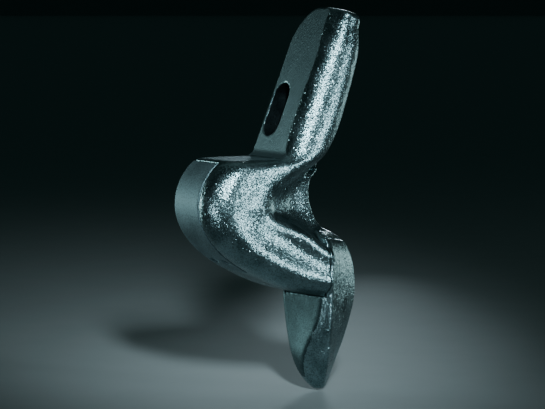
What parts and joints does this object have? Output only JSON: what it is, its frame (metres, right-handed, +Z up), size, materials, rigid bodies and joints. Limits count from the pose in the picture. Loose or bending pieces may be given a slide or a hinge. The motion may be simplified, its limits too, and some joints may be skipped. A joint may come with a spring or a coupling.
{
  "type": "bolt-on bucket corner tooth",
  "caption": "Cast bolt-on corner tooth for a digging bucket: a slotted arm with a flat seat, a bulging heel with a wear pad, and a pinned spade-shaped point.",
  "frame": {"origin": "a point on the machined seat face, on the flat's centre line, just above the bolt slot", "axes": "+Z up along the overall height, +X away from the bucket lip towards the arm's crown, +Y towards the flat back of the castings"},
  "size_m": [0.1259, 0.052, 0.253],
  "materials": {
    "cast_steel": "shot-blasted alloy steel casting with a machined seat",
    "wear_pad_steel": "smooth hardened steel, lightly worn",
    "pin_steel": "turned and hardened steel",
    "spring_steel": "blued spring steel",
    "black_rubber": "matte"
  },
  "bodies": {
    "tooth": {"shank": "cast_steel", "point": "cast_steel", "heel_pad": "wear_pad_steel", "pin_bush": "pin_steel", "nose_buffer": "black_rubber"},
    "lock": {"lock_pin": "pin_steel", "lock_ring": "spring_steel", "dirt_plug": "black_rubber"},
    "pad_pin_front": {"heel_pad_pin_front": "spring_steel"},
    "pad_pin_rear": {"heel_pad_pin_rear": "spring_steel"}
  },
  "joints": [
    {"name": "lock_pin_drive_out", "type": "slide", "parent": "tooth", "child": "lock", "axis": [0, 1, 0], "range_m": [0, 0.04], "deforming": ["lock_ring"]},
    {"name": "pad_pin_front_drive_out", "type": "slide", "parent": "tooth", "child": "pad_pin_front", "axis": [-0.5479, 0, -0.8366], "range_m": [0, 0.03]},
    {"name": "pad_pin_rear_drive_out", "type": "slide", "parent": "tooth", "child": "pad_pin_rear", "axis": [-0.5479, 0, -0.8366], "range_m": [0, 0.03]}
  ]
}
